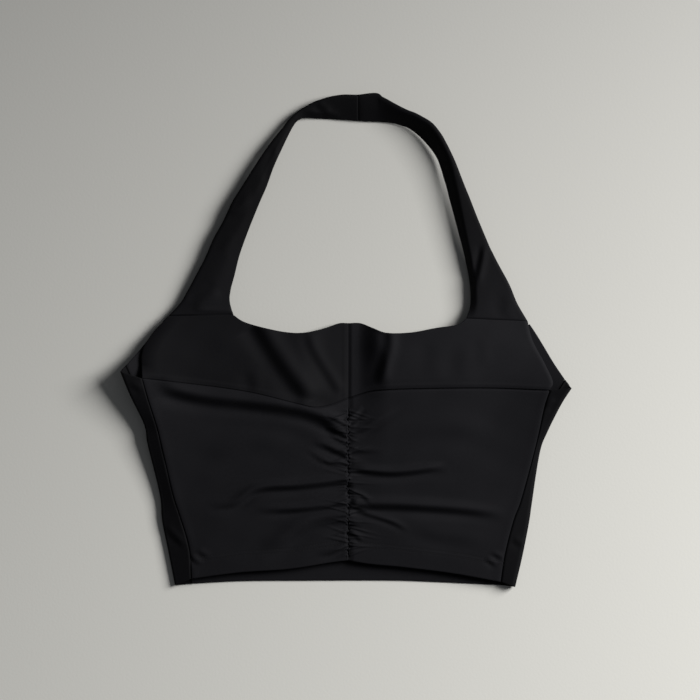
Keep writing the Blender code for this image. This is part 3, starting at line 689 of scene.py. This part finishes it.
# Interlock knit of nylon with elastane, dyed black and brushed matte. It gives the eye an almost
# even near-black that is a little blue, with a soft light on turned slopes and very fine wales.
def interlock_knit(settings, name, shade_at_foot, shade_per_metre):
    """Painted shade: the knit is darkened by this share at the foot of a piece, and by so much more a
    metre up it.
    """
    material, tree, place = new_material(name)
    # Real wales are 0.6 mm apart, too fine to show here, so they are drawn twice as far apart.
    wale, course = settings.wale, settings.wale * 0.85
    uv = node(tree, "ShaderNodeUVMap", uv_map="cut").outputs[0]
    flat = node(tree, "ShaderNodeSeparateXYZ", {0: uv}).outputs
    column = maths(tree, "FRACT", maths(tree, "MULTIPLY", flat[0], 1 / wale))
    middle = maths(tree, "ABSOLUTE", maths(tree, "SUBTRACT", column, 0.5))
    slant = maths(tree, "MULTIPLY", middle, 1.4)
    row = maths(tree, "MULTIPLY_ADD", flat[1], 1 / course, slant)
    loop = maths(tree, "SINE", maths(tree, "MULTIPLY", row, 2 * math.pi))
    rib = maths(tree, "MULTIPLY_ADD", middle, -2.2, loop)
    # Fuzz of the brushed face, about 2.5 mm clumps, and slow unevenness of the dye over 6 cm.
    fuzz, dye = noise(tree, place, 400.0, 3.0), noise(tree, place, 16.0, 2.0)
    shade = maths(tree, "ADD", fuzz, dye)
    colour = blend(tree, shade, linear("#121215"), linear("#18181b"))
    # Painted shade: the colour is darkened towards the painted shade colour by the piece's share.
    painted_shade_share = maths(tree, "MULTIPLY_ADD", flat[1], shade_per_metre, shade_at_foot)
    colour = blend(tree, painted_shade_share, colour, linear(settings.painted_shade_colour))
    ribs = bump(tree, rib, 0.22, wale * 0.12)
    normal = bump(tree, fuzz, 0.12, 0.0003, Normal=ribs)
    surface(tree, colour, settings.roughness, settings.specular, normal)
    return material


def knit_of(context, kind="body"):
    name = "matte_black_nylon_interlock_knit_" + kind
    made = bpy.data.materials.get(name)
    return made or interlock_knit(context.scene.halter_cloth, name, *PAINTED_SHADE[kind])


# Spun polyester sewing thread, black. It gives short soft glints along the hems.
def sewing_thread():
    material, tree, place = new_material("black_spun_polyester_thread")
    twist = node(tree, "ShaderNodeTexWave", {"Vector": place, "Scale": 1500.0}).outputs[0]
    surface(tree, linear("#18181a"), 0.7, 0.15, bump(tree, twist, 0.3, 0.0001))
    return material


# Painted board, pale grey and matte. It gives an even ground with a barely seen tooth, and its colour
# is painted darker towards +Y, as painted shade.
def painted_board(settings):
    material, tree, place = new_material("matte_pale_grey_painted_board")
    tooth = noise(tree, place, 450.0, 2.0)
    way = node(
        tree, "ShaderNodeVectorMath", {0: place, 1: (0.0, -1.10, 0.0)}, operation="DOT_PRODUCT"
    )
    # Painted shade: the board's colour darkens towards +Y.
    shade = maths(tree, "ADD", way.outputs["Value"], 0.53)
    colour = blend(tree, shade, linear(settings.floor_painted_shade), linear(settings.floor_light))
    surface(tree, colour, 0.85, 0.2, bump(tree, tooth, 0.12, 0.0004))
    return material


def stitch_tree():
    """Lays a stitch at every step along the lines that it is given."""
    tree = bpy.data.node_groups.new("hem_stitches", "GeometryNodeTree")
    for name, kind, way in (
        ("Lines", "Geometry", "INPUT"), ("Pitch", "Float", "INPUT"), ("Length", "Float", "INPUT"),
        ("Thread", "Float", "INPUT"), ("Seed", "Int", "INPUT"), ("Material", "Material", "INPUT"),
        ("Stitches", "Geometry", "OUTPUT"),
    ):
        tree.interface.new_socket(name, in_out=way, socket_type="NodeSocket" + kind)
    given = node(tree, "NodeGroupInput").outputs

    def step(kind, links, **settings):
        return node(tree, kind, links, **settings).outputs[0]

    curve = step("GeometryNodeMeshToCurve", {0: given["Lines"]})
    even = step(
        "GeometryNodeResampleCurve", {"Curve": curve, "Length": given["Pitch"]}, mode="LENGTH"
    )
    along = step("GeometryNodeInputTangent", {})
    turn = step("FunctionNodeAlignRotationToVector", {"Vector": along}, axis="X")
    bead = step("GeometryNodeMeshUVSphere", {"Segments": 8, "Rings": 6, "Radius": 0.5})
    size = step(
        "ShaderNodeCombineXYZ", {0: given["Length"], 1: given["Thread"], 2: given["Thread"]}
    )
    bead = step("GeometryNodeTransform", {"Geometry": bead, "Scale": size})
    vary = node(
        tree, "FunctionNodeRandomValue", {2: 0.88, 3: 1.12, "Seed": given["Seed"]},
        data_type="FLOAT",
    )
    laid = step(
        "GeometryNodeInstanceOnPoints",
        {"Points": even, "Instance": bead, "Rotation": turn, "Scale": vary.outputs[1]},
    )
    smooth = step("GeometryNodeSetShadeSmooth", {0: step("GeometryNodeRealizeInstances", {0: laid})})
    done = step("GeometryNodeSetMaterial", {0: smooth, "Material": given["Material"]})
    node(tree, "NodeGroupOutput", {0: done})
    return tree


def hem_stitches(name, grid, height, low, settings):
    """A piece of its own with the two rows of stitches at the top of a hem, laid on this height."""
    tree = bpy.data.node_groups.get("hem_stitches") or stitch_tree()
    thread = bpy.data.materials.get("black_spun_polyester_thread") or sewing_thread()
    places, links = [], []
    for depth in (settings.hem, settings.hem - settings.needle_gap):
        start = len(places)
        for column in range(2, grid.shape[1] - 2, 2):
            place = [np.interp(depth, low[:, column], grid[:, column, i]) for i in (0, 1)]
            level = np.interp(depth, low[:, column], height[:, column]) + STITCH_RISE
            places.append((*place, level))
        links += [(i, i + 1) for i in range(start, len(places) - 1)]
    mesh = bpy.data.meshes.new(name + "_lines")
    mesh.from_pydata(places, links, [])
    guide = place_piece(name + "_lines", mesh)
    modifier = guide.modifiers.new("stitches", "NODES")
    modifier.node_group = tree
    wanted = {
        "Pitch": settings.stitch_pitch, "Length": settings.stitch_length,
        "Thread": settings.thread, "Seed": 7, "Material": thread,
    }
    for item in tree.interface.items_tree:
        if item.item_type == "SOCKET" and item.in_out == "INPUT" and item.name in wanted:
            modifier[item.identifier] = wanted[item.name]
    graph = bpy.context.evaluated_depsgraph_get()
    made = bpy.data.meshes.new_from_object(guide.evaluated_get(graph))
    bpy.data.objects.remove(guide)
    made.name = name
    stitches = place_piece(name, made)
    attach(stitches, "root")
    return stitches


def settle(piece, name, with_pieces=()):
    """Gives a finished piece its place on the frame and hides the CAD part that it was cut to."""
    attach(piece, "root")
    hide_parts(name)


def size(name, about, default, low, high=100.0, precision=4):
    """A length that the panel shows."""
    return FloatProperty(
        name=name, description=about, default=default, min=low, max=high, unit="LENGTH",
        precision=precision,
    )


def share(name, about, default):
    return FloatProperty(
        name=name, description=about, default=default, min=0, max=1, subtype="FACTOR"
    )


def turn_of(name, about, degrees):
    default = math.radians(degrees)
    return FloatProperty(name=name, description=about, default=default, subtype="ANGLE")


class HalterCloth(bpy.types.PropertyGroup):
    """Sizes and finish of the knit and of its stitches."""

    body: size("Body cloth", "Thickness of the doubled knit of the body", 0.0014, 0.001, 0.003)
    strap: size("Strap cloth", "Thickness of the folded strap", 0.0018, 0.001, 0.003)
    hem: size("Hem depth", "From the edge up to the hem's stitches", 0.0190, 0.005, 0.04)
    needle_gap: size("Needle gap", "Between the two rows of a hem", 0.0032, 0.002, 0.007)
    stitch_pitch: size("Stitch pitch", "From one stitch to the next", 0.0028, 0.0015, 0.006)
    stitch_length: size("Stitch length", "Thread that shows in each", 0.0023, 0.001, 0.005)
    thread: size("Thread", "Thickness of the sewing thread", 0.0004, 0.0002, 0.001)
    wale: size("Drawn wale", "Distance at which the wales are drawn", 0.0012, 0.0004, 0.004)
    roughness: share("Roughness", "Of the brushed knit", 0.68)
    specular: share("Specular level", "Of the brushed knit", 0.05)
    # Colour of the painted shade that darkens some copies of the knit.
    painted_shade_colour: StringProperty(
        name="Painted shade colour", description="sRGB hex value of the knit at its darkest", default="#0c0c0e",
    )


class HalterStage(bpy.types.PropertyGroup):
    """The board, the light and the camera."""

    floor_light: StringProperty(
        name="Board, lit side", description="sRGB hex value of the board", default="#e6e6e2",
    )
    # The board's colour where its painted shade is deepest, towards +Y.
    floor_painted_shade: StringProperty(
        name="Board, far side", description="sRGB hex value of the board away from the light",
        default="#9f9f9d",
    )
    azimuth: turn_of("Window's way", "Way of the window light, from +X towards +Y", 22)
    elevation: turn_of("Window's height", "Angle of the window light above the board", 32)
    window: size("Window's size", "Side of the square window light", 1.1, 0.1)
    window_distance: size("Window's distance", "From the garment to the window light", 2.3, 0.5)
    power: FloatProperty(
        name="Window's power", description="Power of the window light", default=87.0, min=0,
        unit="POWER",
    )
    fill: FloatProperty(
        name="Room light", description="Strength of the even light of the room", default=0.075,
        min=0,
    )
    camera_height: size("Camera height", "Height of the camera over the board", 4.0, 1)
    view_width: size("View width", "Width of board that the camera sees", 0.6533, 0.1)


class HALTER_OT_back(bpy.types.Operator):
    """Back panel: lies flat on the board, with its two upper corners lifted"""

    bl_idname = "halter.back"
    bl_label = "Back panel"

    def execute(self, context):
        cloth = context.scene.halter_cloth
        left = edge([row[4:] for row in reversed(SIDE_LEFT)], BACK_ARMHOLE_LEFT)
        right = edge([row[4:] for row in reversed(SIDE_RIGHT)], BACK_ARMHOLE_RIGHT)
        u = spread(stops(length=0.29, step=0.0022), size=0.29)
        v = stops(length=0.22, step=0.0022)
        grid = patch(left, right, edge(BACK_HEM), edge(BACK_TOP), u, v)
        x, y = grid[..., 0], grid[..., 1]
        to_left, to_right, low, high = reaches(grid)
        # The cloth rests on the board between shallow ripples that stand off it.
        ripples = np.maximum(folds_at(BACK_FOLDS, x, y), 0)
        ripples = ripples + np.maximum(ripple(x, y, scale=0.05, height=0.0003), 0)
        nearest = np.minimum(np.minimum(to_left, to_right), np.minimum(low, high))
        calm = np.clip(nearest / 0.02, 0, 1)
        groove = 0.0003 * bell(low, cloth.hem, 0.0008)
        height = cloth.body + lift(x, y) + ripples * calm**2 + groove
        piece = wall("back_panel", grid, height, cloth.body, knit_of(context))
        stitches = hem_stitches("hem_stitches_back", grid, height - cloth.body, low, cloth)
        settle(piece, "back", [stitches])
        return {"FINISHED"}


class HALTER_OT_sides(bpy.types.Operator):
    """Side panels: each turns round the fold at the garment's edge"""

    bl_idname = "halter.sides"
    bl_label = "Side panels"

    def execute(self, context):
        cloth = context.scene.halter_cloth
        down = stops(length=0.20, step=0.0011)
        for way, half in HALVES.items():
            outer, inner = (side_face(half, down, inset) for inset in (0, cloth.body))
            across, along = distances(outer)
            to_back, to_hem = across[:, -1:] - across, along[-1:] - along
            nearest = np.minimum(np.minimum(across, to_back), np.minimum(along, to_hem))
            draw = rolled(nearest, cloth.body)[..., None]
            through_wall = unit(inner - outer)
            # The folds show on the front's side only, and die away at the seam and at the hem.
            in_front = np.clip(1 - across / (0.5 * across[:, -1:]), 0, 1) ** 0.5
            creases = folds_at(SIDE_FOLDS, outer[..., 0], outer[..., 1]) * in_front
            creases = creases * np.clip(across / 0.004, 0, 1) * np.clip(to_hem, 0, 0.004) / 0.004
            for face in (outer, inner):
                face[..., 2] += creases
            dip = (dipped(across) + dipped(to_back))[..., None]
            outer += through_wall * (draw + dip)
            inner -= through_wall * (draw - dip)
            name, cut = "side_" + way, np.stack([across, along], axis=-1)
            # The side panels take the copy of the knit with painted shade over all of it.
            settle(shell(name + "_panel", outer, inner, cut, knit_of(context, "side")), name)
        return {"FINISHED"}


class HALTER_OT_fronts(bpy.types.Operator):
    """Lower front panels: gathered on the centre seam, with a turned hem"""

    bl_idname = "halter.fronts"
    bl_label = "Lower fronts"

    def execute(self, context):
        cloth = context.scene.halter_cloth
        for way, half in HALVES.items():
            name, hem, underbust = "front_" + way, half["hem"], half["underbust"]
            seam = [row[:2] for row in reversed(half["side"])]
            centre = edge((hem[-1], underbust[-1]))
            u = spread(stops(length=0.17, step=0.0028, fine=0.022), size=0.146, last=half["centre"])
            v = spread(stops(length=0.17, step=0.00056), size=0.151, first="free", last="tuck")
            grid = patch(edge(seam), centre, edge(hem), edge(underbust), u, v)
            x, y = grid[..., 0], grid[..., 1]
            side, middle, low, high = reaches(grid)
            height = front_height(half, u, 2 - v) + lift(x, y)
            height += folds_at(FRONT_FOLDS, x, y) + gathers_at(x, y)
            height += ripple(x, y, scale=0.045, height=0.00022)
            height += fuller(side, height=0.0003)
            height -= half["underbust_dip"] * dipped(high, run=half["underbust_run"])
            height -= 0.0002 * bell(middle, 0, 0.0018) * gathered(y)
            if half["centre"] == "tuck":
                height -= dipped(middle, run=0.0060) * (1 - 0.4 * gathered(y))
            grid[..., 0] += seam_wander(x, y)
            # The hem is twice as thick, and its stitches draw it in.
            height += 0.0001 * np.clip((cloth.hem - low) / 0.0012, 0, 1)
            for depth in (cloth.hem, cloth.hem - cloth.needle_gap):
                height -= 0.00012 * bell(low, depth, 0.0009)
            knit = knit_of(context)
            piece = wall(name + "_panel", grid, height, cloth.body, knit, pressed=3.0)
            settle(piece, name, [hem_stitches("hem_stitches_" + name, grid, height, low, cloth)])
        return {"FINISHED"}


class HALTER_OT_cups(bpy.types.Operator):
    """Cups: from the seam under the bust up to the neckline and the strap"""

    bl_idname = "halter.cups"
    bl_label = "Cups"

    def execute(self, context):
        cloth = context.scene.halter_cloth
        for way, half in HALVES.items():
            name, underbust, neckline = "cup_" + way, half["underbust"], half["neckline"]
            centre, top = edge((underbust[-1], neckline[-1])), edge(half["strap_seam"], neckline)
            u = spread(stops(length=0.19, step=0.0011), size=0.192, first="free", last=half["centre"])
            v = spread(stops(length=0.075, step=0.0006), size=0.07)
            grid = patch(edge(half["armhole"]), centre, edge(underbust), top, u, v)
            x, y = grid[..., 0], grid[..., 1]
            side, middle, low, high = reaches(grid)
            height = front_height(half, u, 1 - v) + lift(x, y)
            height += folds_at(FRONT_FOLDS, x, y) + ripple(x, y, scale=0.045, height=0.00022)
            height += fuller(low, height=0.0003) + fuller(middle, height=0.0002)
            if way == "left":
                height -= armhole_turn(side, low, high)
            else:
                height -= 0.0012 * np.clip(1 - side / 0.004, 0, 1) ** 2
            if half["centre"] == "tuck":
                height -= dipped(middle, run=0.0040)
            # The left cup's copy of the knit carries painted shade; the right cup's has none.
            knit = knit_of(context, half["cup_knit"])
            settle(wall(name + "_panel", grid, height, cloth.body, knit, pressed=2.5), name)
        return {"FINISHED"}


class HALTER_OT_straps(bpy.types.Operator):
    """Straps: folded ribbons from the cups up to the seam at the back of the neck"""

    bl_idname = "halter.straps"
    bl_label = "Straps"

    def execute(self, context):
        cloth = context.scene.halter_cloth
        across = stops(length=0.030, step=0.0009)
        for way, half in HALVES.items():
            up = spread(stops(length=0.27, step=0.0011), size=0.27, first="tuck", last=half["centre"])
            rows = edge(half["strap"])(up)
            inner_edge, crown_at, crown, outer_edge = np.split(rows, (3, 4, 5), axis=1)
            share_out = across[None, :, None]
            face = (1 - share_out) * inner_edge[:, None] + share_out * outer_edge[:, None]
            for i in range(len(rows)):
                knots = (0, crown_at[i, 0], 1)
                values = np.array((inner_edge[i, 2], crown[i, 0], outer_edge[i, 2]))[:, None]
                face[i, :, 2] = eased(knots, values, across)[:, 0]
            face[..., 2] += folds_at(STRAP_FOLDS, face[..., 0], face[..., 1])
            normal = np.cross(np.gradient(face, axis=0), np.gradient(face, axis=1))
            # At both seams the wall stands square to the seam's line.
            normal[0, :, 1] = 0
            normal[-1, :, 0] = 0
            normal = unit(normal)
            normal *= np.sign(normal[..., 2].mean())
            left, right, low, high = reaches(face)
            draw = rolled(np.minimum(np.minimum(left, right), np.minimum(low, high)), cloth.strap)
            dip = dipped(low) + 0.0010 * np.clip(1 - right / 0.0035, 0, 1) ** 2
            if half["centre"] == "tuck":
                dip = dip + dipped(high, run=0.0040)
            outer = face - normal * (draw + dip)[..., None]
            inner = face - normal * (cloth.strap - draw + dip)[..., None]
            name, cut = "strap_" + way, np.stack([left, low], axis=-1)
            # The straps take the copy of the knit with painted shade, darker from the cup seam towards
            # the neck.
            settle(shell(name + "_ribbon", outer, inner, cut, knit_of(context, "strap")), name)
        return {"FINISHED"}


class HALTER_OT_stage(bpy.types.Operator):
    """Pale board, window light from the right, and the camera straight above"""

    bl_idname = "halter.stage"
    bl_label = "Stage"

    def execute(self, context):
        scene, stage = context.scene, context.scene.halter_stage
        mesh = bpy.data.meshes.new("board")
        reach, level = 6.0, -0.0002
        corners = [(-reach, -reach), (reach, -reach), (reach, reach), (-reach, reach)]
        mesh.from_pydata([(*corner, level) for corner in corners], [], [(0, 1, 2, 3)])
        mesh.materials.append(painted_board(stage))
        place_piece("board", mesh)

        middle = Vector((0.0037, -0.0089, 0.0))
        around = Vector((math.cos(stage.azimuth), math.sin(stage.azimuth), 0))
        way = around * math.cos(stage.elevation) + Vector((0, 0, math.sin(stage.elevation)))
        light = bpy.data.lights.new("window", "AREA")
        light.shape, light.size, light.energy = "SQUARE", stage.window, stage.power
        light.color = (1.0, 0.985, 0.955)
        window = bpy.data.objects.new("window", light)
        window.location = middle + way * stage.window_distance
        window.rotation_euler = way.to_track_quat("Z", "Y").to_euler()
        window.visible_camera = False
        scene.collection.objects.link(window)

        world = bpy.data.worlds.new("room")
        world.use_nodes = True
        tree = world.node_tree
        tree.nodes.clear()
        room = node(
            tree, "ShaderNodeBackground",
            {"Color": (0.93, 0.96, 1.0, 1.0), "Strength": stage.fill},
        )
        node(tree, "ShaderNodeOutputWorld", {0: room.outputs[0]})
        scene.world = world

        lens = bpy.data.cameras.new("above")
        lens.sensor_width = 36.0
        lens.lens = 36.0 * stage.camera_height / stage.view_width
        lens.clip_end = 40.0
        above = bpy.data.objects.new("above", lens)
        above.location = middle + Vector((0, 0, stage.camera_height))
        scene.collection.objects.link(above)
        scene.camera = above
        scene.view_settings.view_transform = "Standard"
        return {"FINISHED"}


STEPS = (
    HALTER_OT_back, HALTER_OT_sides, HALTER_OT_fronts, HALTER_OT_cups, HALTER_OT_straps,
    HALTER_OT_stage,
)


class HALTER_PT_panel(bpy.types.Panel):
    """Lists the garment's sizes and its pieces"""

    bl_idname = "HALTER_PT_panel"
    bl_label = "Halter top"
    bl_space_type = "VIEW_3D"
    bl_region_type = "UI"
    bl_category = "Halter top"

    def draw(self, context):
        for settings in (context.scene.halter_cloth, context.scene.halter_stage):
            column = self.layout.column(align=True)
            for name in settings.__annotations__:
                column.prop(settings, name)
        for step in STEPS:
            self.layout.operator(step.bl_idname)


CLASSES = (HalterCloth, HalterStage, *STEPS, HALTER_PT_panel)


def register():
    for made in CLASSES:
        bpy.utils.register_class(made)
    bpy.types.Scene.halter_cloth = PointerProperty(type=HalterCloth)
    bpy.types.Scene.halter_stage = PointerProperty(type=HalterStage)


def unregister():
    del bpy.types.Scene.halter_stage
    del bpy.types.Scene.halter_cloth
    for made in reversed(CLASSES):
        bpy.utils.unregister_class(made)


def main():
    register()
    bpy.ops.halter.back()
    bpy.ops.halter.sides()
    bpy.ops.halter.fronts()
    bpy.ops.halter.cups()
    bpy.ops.halter.straps()
    bpy.ops.halter.stage()


if __name__ == "__main__":
    main()
